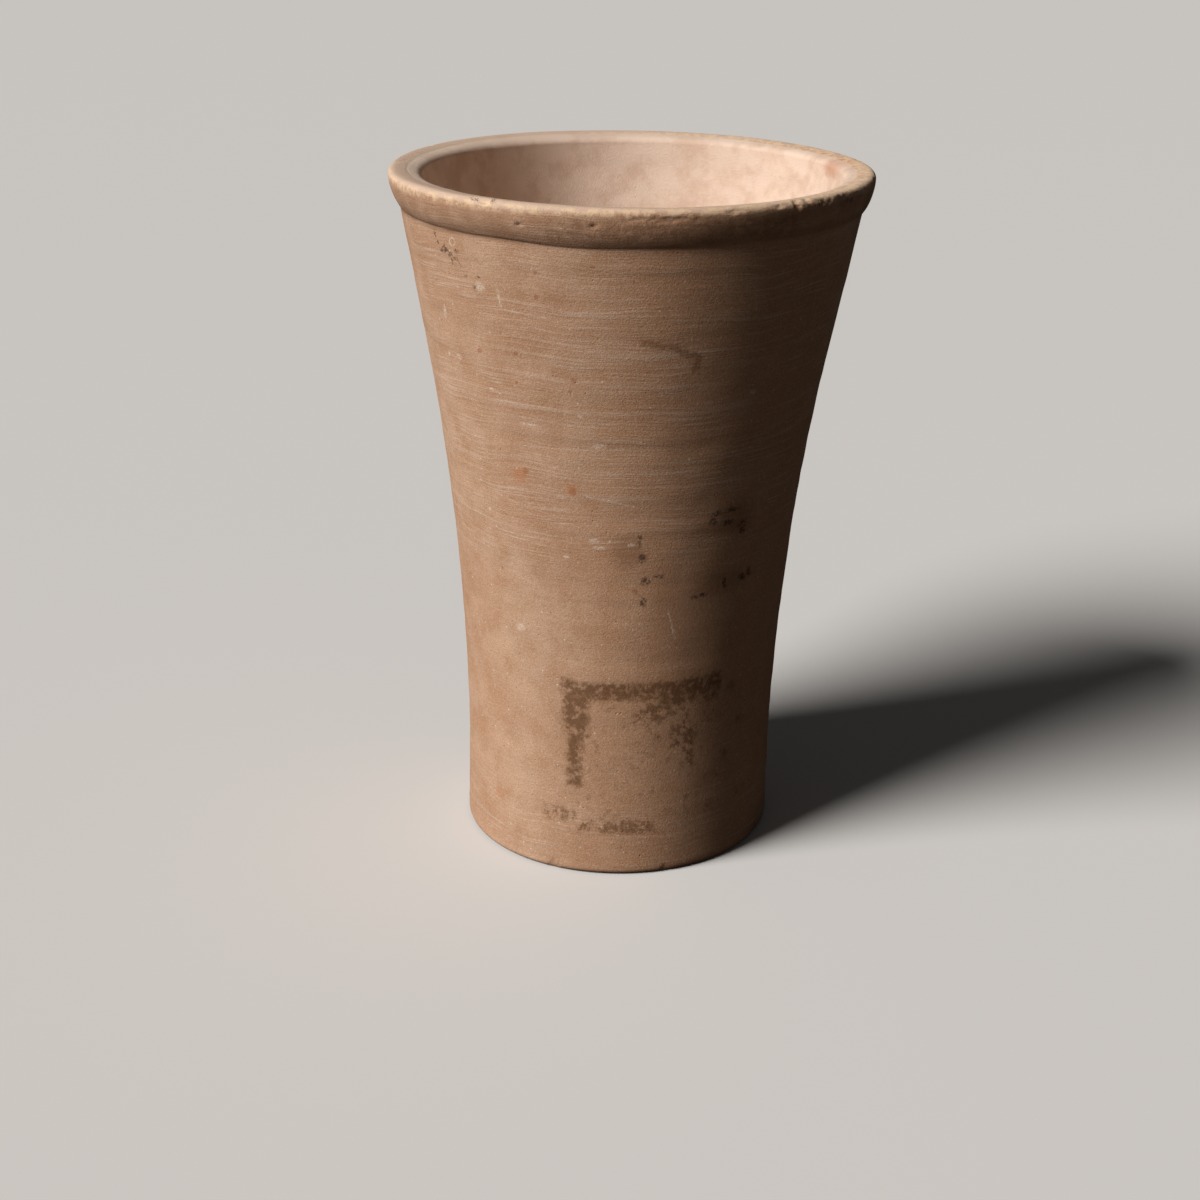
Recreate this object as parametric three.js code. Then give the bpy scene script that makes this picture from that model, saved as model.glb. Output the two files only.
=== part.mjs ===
// Conical vase of fired clay, in millimetres, +Z up.
// The origin is the centre of the flat foot, on the surface that the vase stands on.
// The potter's four pieces are kept apart: the cupped base, two wall sections and the rim collar.

import * as THREE from 'three';

// Driving dimensions
const height = 152.5;
const rimDiameter = 104;
const footDiameter = 71;
const waistDiameter = 70.8;
const shoulderDiameter = 99.3;

// Height of the bend between the straight lower wall and the cone, and the length that eases it
const kneeHeight = 66;
const flareLength = 96;

// The vase leans towards +X by this much at the lip
const leanAtLip = 2.6;

// Clay thicknesses, measured level
const wallAtFoot = 7;
const wallAtShoulder = 5.2;
const lipThickness = 6.8;
const floorThickness = 9;
const innerCornerRadius = 12;

// Rim collar and edges
const collarHeight = 7.6;
const collarStep = 0.3;
const lipOuterRounding = 1.3;
const lipInnerEase = 2.4;
const lipInnerDrop = 1.6;
const footRounding = 1.4;

// Facets
const segments = 80;
const flareStep = 12;
const arcSteps = 5;
const bulgeSteps = 9;

// Heights that follow from the driving dimensions
const flareStart = kneeHeight - flareLength / 2;
const flareEnd = kneeHeight + flareLength / 2;
const collarBottom = height - collarHeight;
const baseTop = floorThickness + innerCornerRadius;

// Rise of the cone's radius for each millimetre of height
const coneSlope = (shoulderDiameter - waistDiameter) / 2 / (collarBottom - kneeHeight);

// Outside radius of the wall: nearly straight, then an eased bend, then a cone
function outerRadius(z) {
  const foot = footDiameter / 2;
  const waist = waistDiameter / 2;
  if (z <= flareStart) {
    return foot + (waist - foot) * z / flareStart;
  }
  if (z < flareEnd) {
    return waist + coneSlope * (z - flareStart) ** 2 / (2 * flareLength);
  }
  return waist + coneSlope * (z - kneeHeight);
}

// Inside radius of the wall, which thins evenly from the foot to the shoulder
function innerRadius(z) {
  const share = z / collarBottom;
  return outerRadius(z) - wallAtFoot - (wallAtShoulder - wallAtFoot) * share;
}

// Even heights between two levels, both ends included
function levels(low, high) {
  const count = Math.max(1, Math.ceil((high - low) / flareStep));
  return Array.from({ length: count + 1 }, (_, i) => low + (high - low) * i / count);
}

// Points of an arc about (r, z), angles in degrees from the outward direction.
// With a rise of its own it is part of an oval, as wide as the radius and as high as the rise.
function arc(r, z, radius, from, to, steps = arcSteps, rise = radius) {
  return Array.from({ length: steps + 1 }, (_, i) => {
    const angle = THREE.MathUtils.degToRad(from + (to - from) * i / steps);
    return new THREE.Vector2(r + radius * Math.cos(angle), z + rise * Math.sin(angle));
  });
}

const point = (r, z) => new THREE.Vector2(r, z);

// Turns a profile about the vase's axis and leans it, which keeps every level face level
function turned(profile) {
  const geometry = new THREE.LatheGeometry(profile, segments);
  geometry.rotateX(Math.PI / 2);
  const lean = leanAtLip / height;
  geometry.applyMatrix4(new THREE.Matrix4().set(
    1, 0, lean, 0,
    0, 1, 0, 0,
    0, 0, 1, 0,
    0, 0, 0, 1,
  ));
  return geometry;
}

function clay(colour) {
  return new THREE.MeshStandardMaterial({ color: colour, roughness: 0.9, metalness: 0 });
}

function piece(name, profile, colour) {
  const mesh = new THREE.Mesh(turned(profile), clay(colour));
  mesh.name = name;
  return mesh;
}

// Cupped base: the foot, the floor and the rounded corner inside
function baseProfile() {
  const foot = footDiameter / 2;
  const corner = innerRadius(baseTop) - innerCornerRadius;
  return [
    point(0, 0),
    ...arc(foot - footRounding, footRounding, footRounding, -90, 0),
    point(outerRadius(flareStart), Math.min(flareStart, baseTop - footRounding)),
    point(outerRadius(baseTop), baseTop),
    ...arc(corner, baseTop, innerCornerRadius, 0, -90, 2 * arcSteps),
    point(0, floorThickness),
  ];
}

// One band of the wall between two level seams
function wallProfile(low, high) {
  const up = levels(low, high);
  const outside = up.map((z) => point(outerRadius(z), z));
  const inside = up.map((z) => point(innerRadius(z), z)).reverse();
  return [...outside, ...inside, outside[0].clone()];
}

// Rim collar: a level step past the wall, a full outer face and a flat lip with eased edges
function collarProfile() {
  const rim = rimDiameter / 2;
  const widest = height - lipOuterRounding;
  const shoulder = outerRadius(collarBottom);
  const mouth = rim - lipThickness;
  const bulge = new THREE.QuadraticBezierCurve(
    point(shoulder + collarStep, collarBottom),
    point(rim, (collarBottom + widest) / 2),
    point(rim, widest),
  );
  const outline = [
    point(innerRadius(collarBottom), collarBottom),
    point(shoulder, collarBottom),
    ...bulge.getPoints(bulgeSteps),
    ...arc(rim - lipOuterRounding, widest, lipOuterRounding, 0, 90).slice(1),
    ...arc(mouth + lipInnerEase, height - lipInnerDrop, lipInnerEase, 90, 180, arcSteps, lipInnerDrop),
  ];
  return [...outline, outline[0].clone()];
}

const vase = new THREE.Group();
vase.name = 'conical_vase';
vase.add(piece('base_cup', baseProfile(), 0xa8876a));
vase.add(piece('lower_wall', wallProfile(baseTop, kneeHeight), 0xb08d70));
vase.add(piece('upper_wall', wallProfile(kneeHeight, collarBottom), 0xb69478));
vase.add(piece('rim_collar', collarProfile(), 0xbd9b7e));

export default vase;
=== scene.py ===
import math

import bpy
import numpy as np
from mathutils import Matrix, Vector


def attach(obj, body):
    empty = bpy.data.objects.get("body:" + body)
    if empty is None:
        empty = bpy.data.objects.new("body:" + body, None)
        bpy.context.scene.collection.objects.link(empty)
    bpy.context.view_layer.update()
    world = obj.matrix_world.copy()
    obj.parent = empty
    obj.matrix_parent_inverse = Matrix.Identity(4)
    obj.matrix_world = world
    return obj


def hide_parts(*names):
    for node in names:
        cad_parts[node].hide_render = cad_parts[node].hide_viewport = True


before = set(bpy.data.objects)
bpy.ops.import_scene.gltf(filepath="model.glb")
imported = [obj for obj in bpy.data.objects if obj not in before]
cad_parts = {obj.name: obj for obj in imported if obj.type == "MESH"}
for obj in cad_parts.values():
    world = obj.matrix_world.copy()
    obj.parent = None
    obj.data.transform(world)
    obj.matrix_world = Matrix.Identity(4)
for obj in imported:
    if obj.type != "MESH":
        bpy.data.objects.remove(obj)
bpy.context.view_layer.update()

MM = 0.001

# Driving sizes of the vase, in millimetres, as the solids have them
HEIGHT = 152.5
RIM_RADIUS = 52.0
FOOT_RADIUS = 35.5
WAIST_RADIUS = 35.4
SHOULDER_RADIUS = 49.65
KNEE_HEIGHT = 66.0
FLARE_LENGTH = 96.0
LEAN_AT_LIP = 2.6
WALL_AT_FOOT = 7.0
WALL_AT_SHOULDER = 5.2
LIP_THICKNESS = 6.8
FLOOR_THICKNESS = 9.0
CORNER_RADIUS = 12.0
COLLAR_HEIGHT = 7.6
COLLAR_STEP = 0.3
LIP_OUTER_ROUNDING = 1.3
LIP_INNER_EASE = 2.4
LIP_INNER_DROP = 1.6
FOOT_ROUNDING = 1.4

FLARE_START = KNEE_HEIGHT - FLARE_LENGTH / 2
FLARE_END = KNEE_HEIGHT + FLARE_LENGTH / 2
COLLAR_BOTTOM = HEIGHT - COLLAR_HEIGHT
BASE_TOP = FLOOR_THICKNESS + CORNER_RADIUS
WIDEST = HEIGHT - LIP_OUTER_ROUNDING
CONE_SLOPE = (SHOULDER_RADIUS - WAIST_RADIUS) / (COLLAR_BOTTOM - KNEE_HEIGHT)

# Hand-made unevenness: the lip's dip to the right as a slope, the rest in millimetres
LIP_DIP = 0.0103
INNER_LIP_ON_LEFT = 0.6
LIP_FALL_INWARD = 0.55
COLUMNS = 640
SEED = 7

# The one soft light: degrees round from the front, degrees up, strength, and spread in degrees
KEY_TURN = -60
KEY_RISE = 38
KEY_STRENGTH = 4.1
KEY_SPREAD = 26


def outer_radius(z):
    """Outside radius of the wall at a height."""
    if z <= FLARE_START:
        return FOOT_RADIUS + (WAIST_RADIUS - FOOT_RADIUS) * z / FLARE_START
    if z < FLARE_END:
        return WAIST_RADIUS + CONE_SLOPE * (z - FLARE_START) ** 2 / (2 * FLARE_LENGTH)
    return WAIST_RADIUS + CONE_SLOPE * (z - KNEE_HEIGHT)


def inner_radius(z):
    """Inside radius of the wall, which thins evenly upwards."""
    share = z / COLLAR_BOTTOM
    return outer_radius(z) - WALL_AT_FOOT - (WALL_AT_SHOULDER - WALL_AT_FOOT) * share


def smooth(x, low, high):
    """0 below low, 1 above high, eased between."""
    t = np.clip((x - low) / (high - low), 0.0, 1.0)
    return t * t * (3 - 2 * t)


def line(a, b, step):
    """Points from a to b, without b, no further apart than step."""
    n = max(1, math.ceil(math.dist(a, b) / step))
    return [(a[0] + (b[0] - a[0]) * i / n, a[1] + (b[1] - a[1]) * i / n) for i in range(n)]


def arc(r, z, radius, start, end, steps, rise=None):
    """Points of an arc or oval, without its end, angles in degrees from the outward direction."""
    rise = rise or radius
    angles = [math.radians(start + (end - start) * i / steps) for i in range(steps)]
    return [(r + radius * math.cos(t), z + rise * math.sin(t)) for t in angles]


def profile():
    """The vase's section from the centre of the foot, up the outside, over the lip and down inside."""
    wall = [FOOT_ROUNDING + i * 0.6 for i in range(int((COLLAR_BOTTOM - FOOT_ROUNDING) / 0.6))]
    mouth = RIM_RADIUS - LIP_THICKNESS
    corner = inner_radius(BASE_TOP) - CORNER_RADIUS
    points = line((2.0, 0.0), (FOOT_RADIUS - FOOT_ROUNDING, 0.0), 2.0)
    points += arc(FOOT_RADIUS - FOOT_ROUNDING, FOOT_ROUNDING, FOOT_ROUNDING, -90, 0, 6)
    points += [(outer_radius(z), z) for z in wall]
    points += line((outer_radius(COLLAR_BOTTOM - 0.25), COLLAR_BOTTOM - 0.25),
                   (SHOULDER_RADIUS + 0.05, COLLAR_BOTTOM), 0.12)
    points += line((SHOULDER_RADIUS + 0.05, COLLAR_BOTTOM),
                   (SHOULDER_RADIUS + COLLAR_STEP, COLLAR_BOTTOM + 0.1), 0.15)
    low = (SHOULDER_RADIUS + COLLAR_STEP, COLLAR_BOTTOM + 0.1)
    steps = 26
    for i in range(steps):
        t = i / steps
        r = (1 - t) ** 2 * low[0] + (1 - (1 - t) ** 2) * RIM_RADIUS
        z = low[1] + (WIDEST - low[1]) * t
        points.append((r, z))
    points += arc(RIM_RADIUS - LIP_OUTER_ROUNDING, WIDEST, LIP_OUTER_ROUNDING, 0, 90, 9)
    points += line((RIM_RADIUS - LIP_OUTER_ROUNDING, HEIGHT), (mouth + LIP_INNER_EASE, HEIGHT), 0.35)
    points += arc(mouth + LIP_INNER_EASE, HEIGHT - LIP_INNER_DROP, LIP_INNER_EASE, 90, 180, 12,
                  LIP_INNER_DROP)
    points += line((mouth, HEIGHT - LIP_INNER_DROP), (inner_radius(COLLAR_BOTTOM), COLLAR_BOTTOM), 0.6)
    inside = np.linspace(COLLAR_BOTTOM, BASE_TOP, 100)[:-1]
    points += [(inner_radius(z), z) for z in inside]
    points += arc(corner, BASE_TOP, CORNER_RADIUS, 0, -90, 14)
    points += line((corner, FLOOR_THICKNESS), (2.0, FLOOR_THICKNESS), 2.0)
    points.append((2.0, FLOOR_THICKNESS))
    points = np.array(points)
    crease = np.flatnonzero(np.abs(points[:, 1] - COLLAR_BOTTOM) < 1.1)
    crease = crease[points[crease, 0] > SHOULDER_RADIUS - 1]
    for _ in range(5):
        points[crease] = (points[crease - 1] + 2 * points[crease] + points[crease + 1]) / 4
    return points


class Field:
    """Smooth random unevenness over the turn and the height, closed round the turn."""

    def __init__(self, rng, across, rise):
        self.rise = rise
        self.grid = rng.uniform(-1, 1, (int(200 / rise) + 4, across))

    def __call__(self, angle, z):
        rows, across = self.grid.shape
        u = angle / (2 * math.pi) * across
        v = (z + 10) / self.rise
        i, j = np.floor(u).astype(int), np.floor(v).astype(int)
        fu, fv = smooth(u - i, 0, 1), smooth(v - j, 0, 1)
        j = np.clip(j, 0, rows - 2)
        a, b = self.grid[j, i % across], self.grid[j, (i + 1) % across]
        c, d = self.grid[j + 1, i % across], self.grid[j + 1, (i + 1) % across]
        return (a * (1 - fu) + b * fu) * (1 - fv) + (c * (1 - fu) + d * fu) * fv


# Chips: degrees from the front, height, half width and half height in mm, depth in mm
CHIPS = [
    (-47.0, 151.9, 1.3, 0.8, 0.35), (-33.4, 152.0, 0.9, 0.7, 0.55), (-31.0, 152.4, 0.8, 0.6, 0.45),
    (-35.8, 152.2, 1.6, 0.35, 0.35), (-8.2, 149.3, 0.7, 0.5, 0.4), (-25.0, 148.6, 0.6, 0.6, 0.4),
    (38.5, 151.8, 1.3, 1.1, 0.75), (41.5, 152.2, 1.0, 0.7, 0.5), (47.0, 151.6, 2.2, 0.9, 0.5),
    (54.0, 151.2, 2.6, 1.0, 0.55), (60.0, 150.6, 1.8, 1.4, 0.5), (33.0, 151.9, 1.1, 0.5, 0.35),
    (22.0, 151.7, 1.6, 0.5, 0.3), (7.0, 150.6, 7.0, 0.7, 0.28), (78.0, 151.4, 1.8, 1.1, 0.5),
    (104.0, 151.9, 1.4, 0.9, 0.5), (139.0, 151.6, 2.4, 0.8, 0.45), (168.0, 151.9, 1.2, 0.8, 0.5),
    (-151.0, 151.7, 2.0, 0.9, 0.5), (-118.0, 151.9, 1.3, 0.8, 0.45), (-79.0, 152.0, 1.1, 0.6, 0.35),
    (66.0, 1.0, 2.4, 1.4, 0.5), (-24.0, 0.9, 1.6, 1.0, 0.35), (152.0, 1.1, 3.0, 1.5, 0.6),
    (-128.0, 0.9, 2.0, 1.2, 0.5), (18.0, 0.8, 1.2, 0.9, 0.3), (108.0, 66.0, 1.4, 1.0, 0.3),
    (-160.0, 95.0, 1.1, 1.5, 0.3), (-98.0, 38.0, 1.6, 0.9, 0.25),
]


def vessel():
    """One seamless, uneven skin for the whole vase."""
    rng = np.random.default_rng(SEED)
    swell = Field(rng, 7, 34.0)
    ridge = Field(rng, 4, 2.6)
    dent = Field(rng, 40, 5.0)
    edge = Field(rng, 26, 300.0)
    jag = Field(rng, 420, 0.6)
    section = profile()
    rows = len(section)
    angle = np.linspace(-math.pi, math.pi, COLUMNS, endpoint=False)
    a, r = np.meshgrid(angle, section[:, 0])
    z = np.repeat(section[:, 1][:, None], COLUMNS, 1)
    normal = np.gradient(section, axis=0)
    normal /= np.linalg.norm(normal, axis=1)[:, None]
    nr, nz = normal[:, 1][:, None], -normal[:, 0][:, None]
    outside = np.arange(rows) < np.argmax(section[:, 1] >= HEIGHT - 1e-6)
    outside = outside[:, None]
    off_foot = smooth(z, 0.4, 2.5)

    push = 0.16 * swell(a, z) + 0.05 * ridge(a, z) + 0.045 * dent(a, z)
    push += 0.16 * np.cos(2 * (a - 0.6)) * z / HEIGHT + 0.08 * np.cos(3 * a + 1.0) * z / HEIGHT
    push *= np.where(outside, off_foot, 1.0)
    push[z <= 0.0] = 0.0
    left = np.clip(-np.sin(a), 0, 1) ** 2
    mouthward = np.where(outside, 0.0, smooth(RIM_RADIUS - LIP_OUTER_ROUNDING - r, 0.3, 4.2))
    for turn, level, half_width, half_height, depth in CHIPS:
        across = (a - math.radians(turn)) * np.maximum(r, 20.0) / half_width
        up = (z - level) / half_height
        reach = np.hypot(across, up) + 0.55 * jag(a, z) + 0.25 * dent(a * 3, z * 3)
        push -= np.where(outside, 0.6 * depth * smooth(1 - reach, -0.1, 0.6), 0.0)

    lip_slope = mouthward * smooth(z, HEIGHT - 6, HEIGHT - 2)
    r = r - INNER_LIP_ON_LEFT * left * mouthward * smooth(z, 100, 140)
    r = r + nr * push
    z = z + nz * push * np.where(z < 3, 0.0, 1.0) - LIP_FALL_INWARD * lip_slope
    near = smooth(z, COLLAR_BOTTOM - 5, COLLAR_BOTTOM - 0.5) * (1 - smooth(z, WIDEST - 4, WIDEST))
    sag = 0.28 * edge(a, z) - 0.45 * np.exp(-((a + 0.2) / 0.32) ** 2)
    z = z + np.where(outside, near * sag, 0.0)
    z = z + np.where(section[:, 1][:, None] >= HEIGHT - 1e-6, 0.07 * edge(a + 1.0, z), 0.0)
    x = r * np.sin(a) + LEAN_AT_LIP / HEIGHT * z
    y = -r * np.cos(a)
    z = z - LIP_DIP * r * np.sin(a) * z / HEIGHT

    points = np.stack([x, y, z], -1).reshape(-1, 3) * MM
    caps = np.array([[0, 0, 0], [LEAN_AT_LIP / HEIGHT * FLOOR_THICKNESS, 0, FLOOR_THICKNESS]]) * MM
    points = np.vstack([points, caps])
    foot_centre, floor_centre = rows * COLUMNS, rows * COLUMNS + 1
    faces = []
    for i in range(rows - 1):
        low, high = i * COLUMNS, (i + 1) * COLUMNS
        for j in range(COLUMNS):
            k = (j + 1) % COLUMNS
            faces.append((low + j, low + k, high + k, high + j))
    last = (rows - 1) * COLUMNS
    for j in range(COLUMNS):
        k = (j + 1) % COLUMNS
        faces.append((foot_centre, k, j))
        faces.append((floor_centre, last + j, last + k))

    mesh = bpy.data.meshes.new("vase_body")
    mesh.from_pydata(points.tolist(), [], faces)
    add_wall_map(mesh, a, section)
    mesh.polygons.foreach_set("use_smooth", [True] * len(mesh.polygons))
    mesh.update()
    body = bpy.data.objects.new("vase_body", mesh)
    bpy.context.collection.objects.link(body)
    return body


def add_wall_map(mesh, a, section):
    """A map of the skin in millimetres: along the turn at the wall's radius, and up."""
    layer = mesh.uv_layers.new(name="wall_mm")
    corner = np.empty(len(mesh.loops), dtype=np.int64)
    mesh.loops.foreach_get("vertex_index", corner)
    level = np.repeat(section[:, 1], COLUMNS)
    girth = np.repeat([outer_radius(min(z, HEIGHT)) for z in section[:, 1]], COLUMNS)
    turn = np.append(a.reshape(-1), [0, 0])
    level = np.append(level, [0, FLOOR_THICKNESS])
    girth = np.append(girth, [FOOT_RADIUS, FOOT_RADIUS])
    turn = turn[corner].copy()
    starts = np.empty(len(mesh.polygons), dtype=np.int64)
    sizes = np.empty(len(mesh.polygons), dtype=np.int64)
    mesh.polygons.foreach_get("loop_start", starts)
    mesh.polygons.foreach_get("loop_total", sizes)
    owner = np.repeat(np.arange(len(starts)), sizes)
    highest = np.full(len(starts), -10.0)
    np.maximum.at(highest, owner, turn)
    turn[(highest[owner] > 3.0) & (turn < -3.0)] += 2 * math.pi
    flat = np.empty((len(turn), 2))
    flat[:, 0] = turn * girth[corner]
    flat[:, 1] = level[corner]
    layer.data.foreach_set("uv", flat.reshape(-1))


class Shade:
    """Short names for shader nodes of one material."""

    def __init__(self, name):
        self.material = bpy.data.materials.new(name)
        self.material.use_nodes = True
        self.tree = self.material.node_tree
        self.tree.nodes.clear()
        self.out = self.tree.nodes.new("ShaderNodeOutputMaterial")
        self.bsdf = self.tree.nodes.new("ShaderNodeBsdfPrincipled")
        self.link(self.bsdf.outputs[0], self.out.inputs["Surface"])

    def link(self, source, target):
        self.tree.links.new(source, target)

    def put(self, socket, value):
        if isinstance(value, bpy.types.NodeSocket):
            self.link(value, socket)
        else:
            socket.default_value = value

    def node(self, kind, **settings):
        made = self.tree.nodes.new(kind)
        for key, value in settings.items():
            setattr(made, key, value)
        return made

    def math(self, op, a, b=0.0, clamp=False):
        made = self.node("ShaderNodeMath", operation=op, use_clamp=clamp)
        self.put(made.inputs[0], a)
        self.put(made.inputs[1], b)
        return made.outputs[0]

    def vec(self, op, a, b=(0, 0, 0), scale=None):
        made = self.node("ShaderNodeVectorMath", operation=op)
        self.put(made.inputs[0], a)
        self.put(made.inputs[1], b)
        if scale is not None:
            self.put(made.inputs["Scale"], scale)
        return made.outputs["Value"] if op in ("LENGTH", "DOT_PRODUCT") else made.outputs["Vector"]

    def noise(self, vector, scale, detail=2.0, rough=0.5, colour=False):
        made = self.node("ShaderNodeTexNoise")
        self.put(made.inputs["Vector"], vector)
        made.inputs["Scale"].default_value = scale
        made.inputs["Detail"].default_value = detail
        made.inputs["Roughness"].default_value = rough
        return made.outputs["Color" if colour else "Fac"]

    def cells(self, vector, scale, output="Distance"):
        made = self.node("ShaderNodeTexVoronoi")
        self.put(made.inputs["Vector"], vector)
        made.inputs["Scale"].default_value = scale
        return made.outputs[output]

    def remap(self, value, low, high, to_low=0.0, to_high=1.0):
        made = self.node("ShaderNodeMapRange", interpolation_type="SMOOTHSTEP")
        for socket, v in zip(made.inputs, (value, low, high, to_low, to_high)):
            self.put(socket, v)
        return made.outputs[0]

    def mix(self, share, a, b):
        made = self.node("ShaderNodeMix", data_type="RGBA")
        self.put(made.inputs["Factor"], share)
        colours = [s for s in made.inputs if s.type == "RGBA"]
        self.put(colours[0], a)
        self.put(colours[1], b)
        return [s for s in made.outputs if s.type == "RGBA"][0]

    def bump(self, height, distance, below=None):
        made = self.node("ShaderNodeBump")
        made.inputs["Strength"].default_value = 1.0
        made.inputs["Distance"].default_value = distance
        self.put(made.inputs["Height"], height)
        if below is not None:
            self.link(below, made.inputs["Normal"])
        return made.outputs["Normal"]

    def most(self, values):
        total = values[0]
        for value in values[1:]:
            total = self.math("MAXIMUM", total, value)
        return total

    def spot(self, place, u, v, half_width, half_height, soft=0.35):
        """1 inside an oval on the wall, 0 outside."""
        off = self.vec("SUBTRACT", place, (u, v, 0))
        off = self.vec("MULTIPLY", off, (1 / half_width, 1 / half_height, 0))
        return self.remap(self.vec("LENGTH", off), 1 + soft, 1 - soft)

    def patch(self, place, u0, v0, u1, v1, soft=0.5):
        """1 inside an upright rectangle on the wall, 0 outside."""
        off = self.vec("SUBTRACT", place, ((u0 + u1) / 2, (v0 + v1) / 2, 0))
        off = self.vec("ABSOLUTE", off)
        off = self.vec("SUBTRACT", off, ((u1 - u0) / 2, (v1 - v0) / 2, 0))
        split = self.node("ShaderNodeSeparateXYZ")
        self.link(off, split.inputs[0])
        return self.remap(self.math("MAXIMUM", split.outputs[0], split.outputs[1]), soft, -soft)

    def stroke(self, place, start, end, half_width, soft=0.5):
        """1 along a short line on the wall, 0 away from it."""
        run = (end[0] - start[0], end[1] - start[1], 0)
        square = run[0] ** 2 + run[1] ** 2
        off = self.vec("SUBTRACT", place, (start[0], start[1], 0))
        along = self.math("MULTIPLY", self.vec("DOT_PRODUCT", off, run), 1 / square, clamp=True)
        near = self.vec("SCALE", run, scale=along)
        gap = self.vec("LENGTH", self.vec("SUBTRACT", off, near))
        return self.remap(gap, half_width * (1 + soft), half_width * (1 - soft))


def rgb(r, g, b):
    """Linear colour from a screen colour of 0 to 255."""
    def lin(c):
        c /= 255
        return c / 12.92 if c <= 0.04045 else ((c + 0.055) / 1.055) ** 2.4
    return (lin(r), lin(g), lin(b), 1.0)


# Marks on the wall: millimetres round from the front, and height
RED_SPECKS = [
    (-7.5, 140.8, .45), (-19.3, 138.8, .5), (-19.1, 133.7, .5), (-33.3, 120.1, .6), (-23.8, 121.2, .5),
    (-23.7, 114.8, .4), (-11.0, 116.7, .6), (-11.8, 114.2, .4), (-21.8, 95.3, .7), (-22.2, 94.6, .4),
    (-11.0, 92.0, .8), (-28.9, 70.8, .4), (2.5, 69.6, .6),
]
PALE_SPECKS = [
    (-40.4, 117.3, .9, .6), (-44.5, 117.1, .5, .5), (-44.6, 126.5, .5, 1.6), (-9.7, 109.1, .5, .5),
    (-5.9, 102.7, 1.6, .5), (-20.9, 105.9, 2.1, .35), (-30.3, 112.2, .8, .3), (-13.6, 90.5, .8, .4),
    (-32.3, 84.1, .5, .4), (-6.4, 81.1, 1.1, .45), (-5.3, 79.5, 1.0, .4), (1.4, 80.4, .8, .3),
    (-12.4, 76.8, .6, .4), (-23.6, 57.7, 1.2, .9), (27.2, 112.7, .7, .5), (-32.5, 134.1, 1.2, .9),
]
PALE_LINES = [
    ((-22.5, 100.9), (0.6, 102.0), .10), ((-8.7, 91.3), (0.3, 89.6), .16),
    ((9.8, 64.4), (11.5, 57.8), .2), ((-25.0, 130.0), (-17.0, 129.5), .12),
    ((-27.9, 134.1), (-27.3, 130.9), .3), ((-30, 88.5), (-13, 85.5), .09),
    ((-27, 86.5), (-9, 84), .08), ((-18, 63), (-8, 62), .07), ((4, 96), (16, 97), .09),
]
DARK_FLECKS = [
    (3.2, 81.3, .4, 1.6), (3.7, 77.3, .9, .8), (4.6, 71.9, 1.0, .7), (7.5, 72.9, 1.2, .4),
    (4.2, 66.9, .5, 1.2), (15.6, 67.0, .9, .45), (17.7, 67.4, .8, .4), (23.0, 69.1, .5, 1.2),
    (28.2, 69.3, .9, .9), (30.2, 70.2, .6, .8), (20.4, 86.0, 1.2, .6), (24.2, 86.3, 1.6, .45),
    (23.0, 83.7, 1.3, .8), (27.0, 82.6, 1.0, .7), (27.1, 80.8, .5, .8), (19.2, 84.3, .7, .9),
]
# The first eleven are dark spots on the wall; the last eight, on the lip, are painted shade in the hollows
# of the chips
SPRAY_AND_PAINTED_CHIP_SHADE = [
    (-45.9, 143.2, .3, .7), (-45.0, 141.6, .35, .35), (-42.7, 140.3, .8, .6), (-43.9, 139.9, .5, .4),
    (-39.0, 140.5, .55, .35), (-41.3, 139.4, .5, .3), (-38.9, 138.6, .4, .3), (-36.4, 135.8, .5, .3),
    (-32.9, 135.9, .6, .25), (-33.9, 133.7, .4, .6), (-40.4, 138.2, .3, .6),
    (-30.2, 151.6, .6, .3), (-28.3, 152.2, .4, .25), (-32.4, 152.1, 1.2, .15), (-7.4, 149.3, .5, .35),
    (-22.5, 148.6, .4, .4), (36.4, 151.8, .8, .35), (40.2, 151.4, .6, .5), (51.0, 150.6, 1.6, .35),
]


def residue_mask(s, place, grain):
    """Brown, patchy trace of paper and glue: a frame with gaps, and streaks below it."""
    solid = s.most([
        s.patch(place, -13.2, 43.2, 23.5, 47.6, 0.9),
        s.patch(place, 8.0, 41.2, 22.8, 45.0, 1.2),
        s.patch(place, -13.0, 34.0, -6.6, 44.6, 1.0),
        s.patch(place, -11.8, 21.5, -8.0, 35.5, 1.0),
    ])
    thin = s.most([
        s.patch(place, 11.0, 31.0, 15.6, 43.0, 1.2),
        s.patch(place, 14.2, 25.2, 17.4, 36.0, 1.0),
        s.patch(place, 3.0, 37.6, 12.0, 43.5, 1.6),
        s.patch(place, -9.2, 10.4, 8.2, 13.8, 1.2),
        s.patch(place, -17.2, 12.6, -9.4, 16.2, 1.2),
        s.stroke(place, (3.8, 41.0), (8.4, 34.0), 1.0, 0.8),
    ])
    loose = s.most([s.spot(place, u, v, 1.6, 1.3, 0.8) for u, v in (
        (23.6, 37.4), (30.3, 33.5), (25.5, 26.9), (31.4, 15.4), (21.1, 14.3), (12.6, 15.6), (19.4, 39.0),
        (-12.2, 30.0), (27.0, 43.0),
    )])
    faint = s.patch(place, -14.5, 9.5, 25.0, 48.2, 1.8)
    solid = s.math("MULTIPLY", solid, s.remap(grain, 0.34, 0.56, 0.30, 1.0))
    thin = s.math("MULTIPLY", thin, s.remap(grain, 0.44, 0.58, 0.10, 0.85))
    loose = s.math("MULTIPLY", loose, s.remap(grain, 0.44, 0.60, 0.05, 0.55))
    faint = s.math("MULTIPLY", faint, s.remap(grain, 0.54, 0.66, 0.05, 0.42))
    return s.most([solid, thin, loose, faint])


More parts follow.
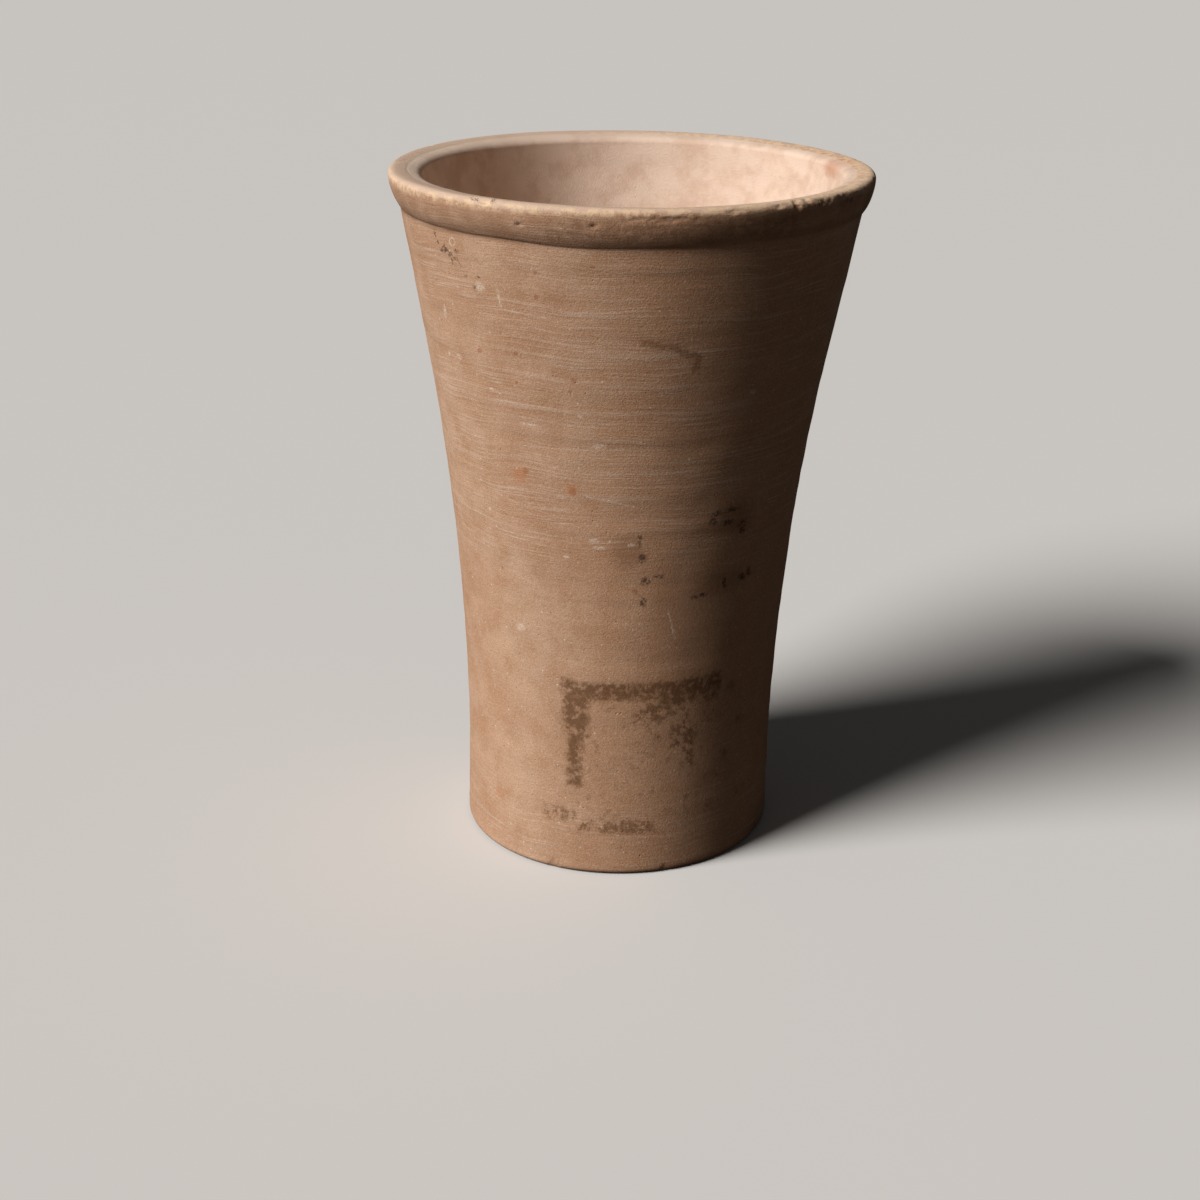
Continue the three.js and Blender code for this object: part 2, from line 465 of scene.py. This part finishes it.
def clay_material():
    s = Shade("fired_clay")
    s.bsdf.inputs["Roughness"].default_value = 0.86
    s.bsdf.inputs["Specular IOR Level"].default_value = 0.28

    coords = s.node("ShaderNodeTexCoord")
    body = s.vec("SCALE", coords.outputs["Object"], scale=1000.0)
    wall = s.node("ShaderNodeUVMap", uv_map="wall_mm").outputs[0]
    split = s.node("ShaderNodeSeparateXYZ")
    s.link(body, split.inputs[0])
    level = split.outputs[2]
    flat = s.node("ShaderNodeSeparateXYZ")
    s.link(wall, flat.inputs[0])

    # Radius from the leaning axis tells the inside from the outside
    axis = s.math("MULTIPLY", level, LEAN_AT_LIP / HEIGHT)
    dx = s.math("SUBTRACT", split.outputs[0], axis)
    radius = s.math("SQRT", s.math("ADD", s.math("MULTIPLY", dx, dx),
                                   s.math("MULTIPLY", split.outputs[1], split.outputs[1])))
    flare = s.math("MULTIPLY", CONE_SLOPE, s.math("SUBTRACT", level, KNEE_HEIGHT))
    cone = s.math("ADD", WAIST_RADIUS, flare)
    skin = s.math("MAXIMUM", cone, WAIST_RADIUS)
    inside = s.remap(s.math("SUBTRACT", skin, radius), 2.6, 3.4)
    above = s.remap(level, 2.0, 3.5)
    inside = s.math("MULTIPLY", inside, above)
    outside = s.math("SUBTRACT", 1.0, inside)

    # Noise that makes the edges of the marks wander
    shift = s.vec("SUBTRACT", s.noise(body, 0.9, 3, 0.6, colour=True), (0.5, 0.5, 0.5))
    fine_shift = s.vec("SUBTRACT", s.noise(body, 3.0, 2, 0.6, colour=True), (0.5, 0.5, 0.5))
    rough_place = s.vec("ADD", wall, s.vec("SCALE", shift, scale=2.6))
    fine_place = s.vec("ADD", wall, s.vec("ADD", s.vec("SCALE", shift, scale=0.9),
                                          s.vec("SCALE", fine_shift, scale=0.7)))
    ragged_place = s.vec("ADD", wall, s.vec("ADD", s.vec("SCALE", shift, scale=2.4),
                                            s.vec("SCALE", fine_shift, scale=1.1)))

    # Ground colour
    cloud = s.noise(body, 0.035, 3, 0.55)
    mottle = s.noise(body, 0.16, 4, 0.6)
    grain = s.noise(body, 1.7, 3, 0.65)
    colour = s.mix(s.remap(cloud, 0.35, 0.65), rgb(190, 148, 118), rgb(200, 162, 133))
    colour = s.mix(s.math("MULTIPLY", s.remap(mottle, 0.46, 0.68), 0.60), colour, rgb(180, 134, 100))
    colour = s.mix(s.math("MULTIPLY", s.remap(mottle, 0.50, 0.28), 0.35), colour, rgb(216, 178, 150))

    # The front and its right are a warmer brown than the left: partly a real brown patch, partly painted
    # shade on the side turned away from the light
    brown_patch_and_painted_shade = s.math("MULTIPLY", s.remap(flat.outputs[0], -22.0, 10.0), s.remap(flat.outputs[0], 62.0, 40.0))
    colour = s.mix(s.math("MULTIPLY", brown_patch_and_painted_shade, 0.62), colour, rgb(190, 138, 100))

    # Level wiping marks, strong on the upper wall, faint on the smooth part below the bend
    wave = s.math("MULTIPLY", s.math("SUBTRACT", s.noise(body, 0.03, 2, 0.5), 0.5), 6.0)
    lifted = s.node("ShaderNodeCombineXYZ")
    s.link(split.outputs[0], lifted.inputs[0])
    s.link(split.outputs[1], lifted.inputs[1])
    s.link(s.math("ADD", level, wave), lifted.inputs[2])
    streak_place = s.vec("MULTIPLY", lifted.outputs[0], (0.032, 0.032, 1.3))
    hair_place = s.vec("MULTIPLY", lifted.outputs[0], (0.075, 0.075, 3.6))
    streak = s.noise(streak_place, 1.0, 4, 0.62)
    hair = s.noise(hair_place, 1.0, 3, 0.6)
    upper = s.remap(level, 66.0, 84.0)
    lower = s.remap(level, 24.0, 14.0)
    amount = s.math("ADD", s.math("MULTIPLY", upper, 0.72), s.math("MULTIPLY", lower, 0.5))
    amount = s.math("ADD", amount, 0.22)
    patchy = s.noise(s.vec("MULTIPLY", body, (0.05, 0.05, 0.12)), 1.0, 2, 0.5)
    patchy = s.remap(patchy, 0.3, 0.62, 0.35, 1.0)
    amount = s.math("MULTIPLY", s.math("MULTIPLY", amount, patchy), s.remap(outside, 0.0, 1.0, 0.3, 1.0))
    pale_streak = s.math("MULTIPLY", s.remap(streak, 0.54, 0.70), amount)
    pale_hair = s.math("MULTIPLY", s.remap(hair, 0.55, 0.70), amount)
    dark_streak = s.math("MULTIPLY", s.remap(streak, 0.46, 0.30), amount)
    colour = s.mix(s.math("MULTIPLY", dark_streak, 0.30), colour, rgb(168, 124, 94))
    colour = s.mix(s.math("MULTIPLY", pale_streak, 0.50), colour, rgb(224, 200, 180))
    colour = s.mix(s.math("MULTIPLY", pale_hair, 0.45), colour, rgb(232, 212, 194))

    # Grain and grit of the clay
    dust = s.noise(body, 4.2, 2, 0.6)
    colour = s.mix(s.math("MULTIPLY", s.remap(grain, 0.53, 0.72), 0.38), colour, rgb(160, 116, 86))
    colour = s.mix(s.math("MULTIPLY", s.remap(grain, 0.47, 0.28), 0.32), colour, rgb(228, 200, 176))
    colour = s.mix(s.math("MULTIPLY", s.remap(dust, 0.52, 0.66), 0.26), colour, rgb(150, 108, 80))
    colour = s.mix(s.math("MULTIPLY", s.remap(dust, 0.48, 0.34), 0.26), colour, rgb(234, 208, 186))
    grit = s.cells(body, 0.62)
    pick = s.node("ShaderNodeSeparateColor")
    s.link(s.cells(body, 0.62, "Color"), pick.inputs[0])
    pale_grit = s.math("MULTIPLY", s.remap(grit, 0.16, 0.10), s.remap(pick.outputs[0], 0.80, 0.90))
    dark_grit = s.math("MULTIPLY", s.remap(grit, 0.15, 0.08), s.remap(pick.outputs[1], 0.86, 0.94))
    colour = s.mix(s.math("MULTIPLY", pale_grit, 0.65), colour, rgb(238, 216, 196))
    colour = s.mix(s.math("MULTIPLY", dark_grit, 0.60), colour, rgb(120, 76, 50))

    # Paler, creamier inside and lip
    inner = s.mix(s.remap(mottle, 0.4, 0.65), rgb(232, 209, 191), rgb(217, 190, 170))
    colour = s.mix(s.math("MULTIPLY", inside, 0.85), colour, inner)
    lip = s.remap(level, 151.3, 152.2)
    colour = s.mix(s.math("MULTIPLY", lip, 0.6), colour, rgb(216, 194, 175))

    # Stains and marks, and painted shade in the chips on the lip
    stain_grain = s.noise(body, 0.55, 4, 0.68)
    residue = s.math("MULTIPLY", residue_mask(s, rough_place, stain_grain), outside)
    colour = s.mix(s.math("MULTIPLY", residue, 0.80), colour, rgb(102, 66, 34))
    halo = s.most([s.spot(rough_place, 0.5, 78.5, 3.2, 3.2, 0.7),
                   s.spot(rough_place, 22.0, 69.5, 7.0, 2.4, 0.7),
                   s.spot(rough_place, 25.0, 84.0, 4.5, 3.5, 0.7)])
    colour = s.mix(s.math("MULTIPLY", s.math("MULTIPLY", halo, outside), 0.38), colour, rgb(120, 78, 46))
    flecks = s.most([s.spot(ragged_place, u, v, w, h, 0.7) for u, v, w, h in DARK_FLECKS])
    spray_and_painted_chip_shade = s.most([s.spot(ragged_place, u, v, w, h, 0.6) for u, v, w, h in SPRAY_AND_PAINTED_CHIP_SHADE]
                   + [s.stroke(ragged_place, (-38.9, 138.6), (-36.4, 135.8), 0.15, 0.9),
                      s.stroke(ragged_place, (-42.0, 140.3), (-38.9, 138.6), 0.2, 0.9)])
    # Dark flecks and spots, with painted shade in the lip's chips
    ink_and_painted_chip_shade = s.math("MULTIPLY", s.math("MAXIMUM", flecks, spray_and_painted_chip_shade), outside)
    ink_and_painted_chip_shade = s.math("MULTIPLY", ink_and_painted_chip_shade, s.remap(grain, 0.34, 0.56, 0.25, 1.0))
    colour = s.mix(s.math("MULTIPLY", ink_and_painted_chip_shade, 0.84), colour, rgb(58, 38, 26))
    vein_points = [(3.0, 125.2), (5.4, 124.8), (8.9, 124.2), (11.8, 122.5), (14.3, 122.1), (13.4, 119.4)]
    vein = s.most([s.stroke(ragged_place, a, b, 0.7, 0.9) for a, b in zip(vein_points, vein_points[1:])])
    colour = s.mix(s.math("MULTIPLY", s.math("MULTIPLY", vein, outside), 0.58), colour, rgb(118, 74, 42))
    specks = s.most([s.spot(fine_place, u, v, w, w) for u, v, w in RED_SPECKS])
    colour = s.mix(s.math("MULTIPLY", s.math("MULTIPLY", specks, outside), 0.50), colour, rgb(158, 90, 56))
    orange = s.most([s.spot(rough_place, -30.7, 14.1, 1.3, 1.0, 0.6),
                     s.spot(rough_place, -11.2, 92.3, 1.6, 1.0, 0.7),
                     s.spot(rough_place, -23.5, 94.0, 1.8, 1.8, 0.7)])
    colour = s.mix(s.math("MULTIPLY", s.math("MULTIPLY", orange, outside), 0.36), colour, rgb(198, 124, 76))
    scars = s.most([s.spot(fine_place, u, v, w, h, 0.5) for u, v, w, h in PALE_SPECKS]
                   + [s.stroke(fine_place, a, b, w) for a, b, w in PALE_LINES])
    ring_gap = s.math("SUBTRACT", s.vec("LENGTH", s.vec("SUBTRACT", wall, (-40.1, 142.4, 0))), 0.85)
    ring = s.remap(s.math("ABSOLUTE", ring_gap), 0.3, 0.1)
    scars = s.math("MULTIPLY", s.math("MAXIMUM", scars, ring), outside)
    scars = s.math("MULTIPLY", scars, s.remap(grain, 0.40, 0.56, 0.10, 1.0))
    colour = s.mix(s.math("MULTIPLY", scars, 0.62), colour, rgb(236, 216, 198))
    rust = s.spot(rough_place, 92.0, 151.2, 5.0, 1.8, 0.8)
    colour = s.mix(s.math("MULTIPLY", rust, 0.45), colour, rgb(176, 104, 58))

    # Painted highlight: a pale, sandy line along the lip's outer edge. Then the collar darkened, partly its
    # own brown and partly painted shade, grey-brown dirt on its front, and painted shade in the crease
    # below it
    arris_painted_highlight = s.math("MULTIPLY", s.remap(level, 150.2, 151.4), s.remap(level, 152.7, 152.1))
    arris_painted_highlight = s.math("MULTIPLY", s.math("MULTIPLY", arris_painted_highlight, outside), s.remap(stain_grain, 0.42, 0.58))
    colour = s.mix(s.math("MULTIPLY", arris_painted_highlight, 0.70), colour, rgb(236, 204, 168))
    # The collar is darker: partly its own brown, partly painted shade for its downward-facing face
    collar = s.math("MULTIPLY", s.remap(level, 143.8, 145.2), s.remap(level, 151.6, 150.0))
    collar = s.math("MULTIPLY", s.math("MULTIPLY", collar, outside), s.remap(mottle, 0.35, 0.6, 0.4, 1.0))
    colour = s.mix(s.math("MULTIPLY", collar, 0.50), colour, rgb(156, 118, 92))
    dirt = s.patch(rough_place, -16.0, 146.2, 34.0, 150.6, 1.2)
    dirt = s.math("MULTIPLY", dirt, s.remap(stain_grain, 0.42, 0.58))
    colour = s.mix(s.math("MULTIPLY", dirt, 0.42), colour, rgb(122, 84, 56))
    # Painted shade in the crease under the collar
    crease = s.math("MULTIPLY", s.remap(level, 144.2, 145.2), s.remap(level, 148.0, 145.4))
    colour = s.mix(s.math("MULTIPLY", s.math("MULTIPLY", crease, outside), 0.35), colour, rgb(128, 90, 64))

    s.link(colour, s.bsdf.inputs["Base Color"])
    rough = s.remap(grain, 0.3, 0.7, 0.80, 0.93)
    rough = s.math("SUBTRACT", rough, s.math("MULTIPLY", residue, 0.12))
    s.link(rough, s.bsdf.inputs["Roughness"])

    # Relief, in metres: grain, wiping grooves and pits
    pits = s.cells(body, 0.42)
    pit_pick = s.node("ShaderNodeSeparateColor")
    s.link(s.cells(body, 0.42, "Color"), pit_pick.inputs[0])
    pit = s.math("MULTIPLY", s.remap(pits, 0.13, 0.02), s.remap(pit_pick.outputs[2], 0.82, 0.90))
    normal = s.bump(s.noise(body, 2.4, 4, 0.7), 0.00012)
    grooves = s.math("MULTIPLY", s.math("ADD", streak, s.math("MULTIPLY", hair, 0.5)), amount)
    normal = s.bump(grooves, 0.00011, normal)
    normal = s.bump(s.math("SUBTRACT", 1.0, pit), 0.0001, normal)
    s.link(normal, s.bsdf.inputs["Normal"])
    return s.material


def add_floor():
    bpy.ops.mesh.primitive_plane_add(size=12.0, location=(0, 0, -0.00004))
    floor = bpy.context.object
    floor.name = "floor"
    s = Shade("pale_floor")
    s.bsdf.inputs["Roughness"].default_value = 0.9
    s.bsdf.inputs["Specular IOR Level"].default_value = 0.1
    seen = s.node("ShaderNodeLightPath").outputs["Is Camera Ray"]
    colour = s.mix(seen, (0.06, 0.055, 0.05, 1), (0.70, 0.69, 0.68, 1))
    s.link(colour, s.bsdf.inputs["Base Color"])
    floor.data.materials.append(s.material)


def add_world():
    world = bpy.data.worlds.new("studio")
    bpy.context.scene.world = world
    world.use_nodes = True
    tree = world.node_tree
    tree.nodes.clear()
    out = tree.nodes.new("ShaderNodeOutputWorld")
    glow = tree.nodes.new("ShaderNodeBackground")
    air = tree.nodes.new("ShaderNodeBackground")
    glow.inputs["Color"].default_value = (1.0, 0.97, 0.94, 1)
    glow.inputs["Strength"].default_value = 0.035
    air.inputs["Color"].default_value = (0.86, 0.85, 0.84, 1)
    air.inputs["Strength"].default_value = 1.0
    path = tree.nodes.new("ShaderNodeLightPath")
    choose = tree.nodes.new("ShaderNodeMixShader")
    tree.links.new(path.outputs["Is Camera Ray"], choose.inputs[0])
    tree.links.new(glow.outputs[0], choose.inputs[1])
    tree.links.new(air.outputs[0], choose.inputs[2])
    tree.links.new(choose.outputs[0], out.inputs["Surface"])


def add_sun(name, turn, rise, strength, spread, colour):
    """A soft far light from turn degrees round from the front (left is negative), rise degrees up."""
    lamp = bpy.data.lights.new(name, "SUN")
    lamp.energy = strength
    lamp.angle = math.radians(spread)
    lamp.color = colour
    holder = bpy.data.objects.new(name, lamp)
    t, e = math.radians(turn), math.radians(rise)
    toward = Vector((math.sin(t) * math.cos(e), -math.cos(t) * math.cos(e), math.sin(e)))
    holder.rotation_euler = toward.to_track_quat("Z", "Y").to_euler()
    holder.location = toward
    bpy.context.collection.objects.link(holder)


def add_camera():
    """Stands where the photograph was taken: distance, height, turn, pitch and roll."""
    distance, height = 0.42546, 0.22067
    pitch, yaw, roll = 0.3762, -0.0096, 0.0008
    lens = 59.09
    look = Vector((math.sin(yaw) * math.cos(pitch), math.cos(yaw) * math.cos(pitch), -math.sin(pitch)))
    side = Vector((math.cos(yaw), -math.sin(yaw), 0))
    up = side.cross(look)
    right = side * math.cos(roll) + up * math.sin(roll)
    up = up * math.cos(roll) - side * math.sin(roll)
    turn = Matrix((right, up, -look)).transposed().to_4x4()
    data = bpy.data.cameras.new("photo_camera")
    data.lens = lens
    data.sensor_width = 36.0
    data.clip_start = 0.01
    camera = bpy.data.objects.new("photo_camera", data)
    camera.matrix_world = Matrix.Translation((0, -distance, height)) @ turn
    bpy.context.collection.objects.link(camera)
    bpy.context.scene.camera = camera


bpy.context.scene.view_settings.view_transform = "Standard"

body = vessel()
body.data.materials.append(clay_material())
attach(body, "root")
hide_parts("base_cup", "lower_wall", "upper_wall", "rim_collar")

add_floor()
add_world()
add_sun("key", KEY_TURN, KEY_RISE, KEY_STRENGTH, KEY_SPREAD, (1.0, 0.965, 0.925))
add_camera()
